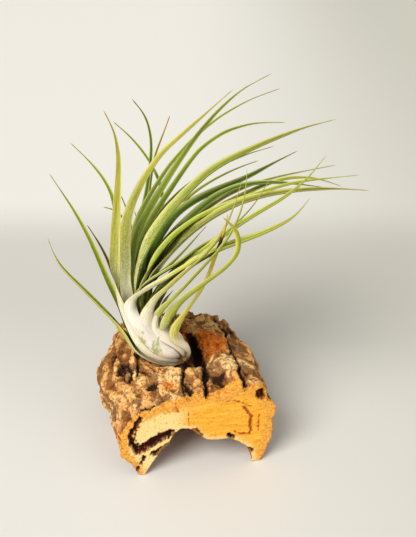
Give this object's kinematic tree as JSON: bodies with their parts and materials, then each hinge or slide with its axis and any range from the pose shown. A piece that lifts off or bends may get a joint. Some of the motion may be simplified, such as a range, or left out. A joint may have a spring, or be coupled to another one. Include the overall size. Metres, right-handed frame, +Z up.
{
  "type": "air plant on cork bark",
  "caption": "Air plant with long arching channelled leaves around a small bulb, standing in a knot hole of an arched piece of cork bark with an open tunnel beneath.",
  "frame": {"origin": "middle of the bounding box in X and Y, at the height of the bark's two feet", "axes": "+Z up, the tunnel under the bark runs along Y and the cut end that the picture shows faces -Y, leaf tips sweep to +X"},
  "size_m": [0.142, 0.14, 0.1744],
  "materials": {
    "cork_bark": "rough bark outside, open-pored yellow cork at the cut ends",
    "stem": "matte",
    "leaf": "matte, silvery scales near the bulb"
  },
  "bodies": {
    "root": {"cork_bark": "cork_bark", "leaf_back_1": "leaf", "leaf_back_2": "leaf", "leaf_back_3": "leaf", "leaf_back_4": "leaf", "leaf_back_left_high": "leaf", "leaf_back_left_outer": "leaf", "leaf_behind_1": "leaf", "leaf_behind_2": "leaf", "leaf_behind_3": "leaf", "leaf_bright_right": "leaf", "leaf_cream_front": "leaf", "leaf_curl_up": "leaf", "leaf_curled_right": "leaf", "leaf_dark_arch": "leaf", "leaf_dark_right": "leaf", "leaf_drooping_right": "leaf", "leaf_grey_under": "leaf", "leaf_hidden_rib": "leaf", "leaf_highest": "leaf", "leaf_hook_right": "leaf", "leaf_level_high": "leaf", "leaf_long_right": "leaf", "leaf_low_left": "leaf", "leaf_old_sheath": "leaf", "leaf_pale_middle": "leaf", "leaf_pink_tip": "leaf", "leaf_right_front": "leaf", "leaf_rising_right": "leaf", "leaf_second_highest": "leaf", "leaf_short_left": "leaf", "leaf_short_middle": "leaf", "leaf_slim_front": "leaf", "leaf_stub_left": "leaf", "leaf_tall_left": "leaf", "leaf_thin_back": "leaf", "leaf_thin_left": "leaf", "leaf_upper_right": "leaf", "leaf_white_front": "leaf", "leaf_wide_left": "leaf", "leaf_widest": "leaf", "stem": "stem"}
  },
  "joints": []
}
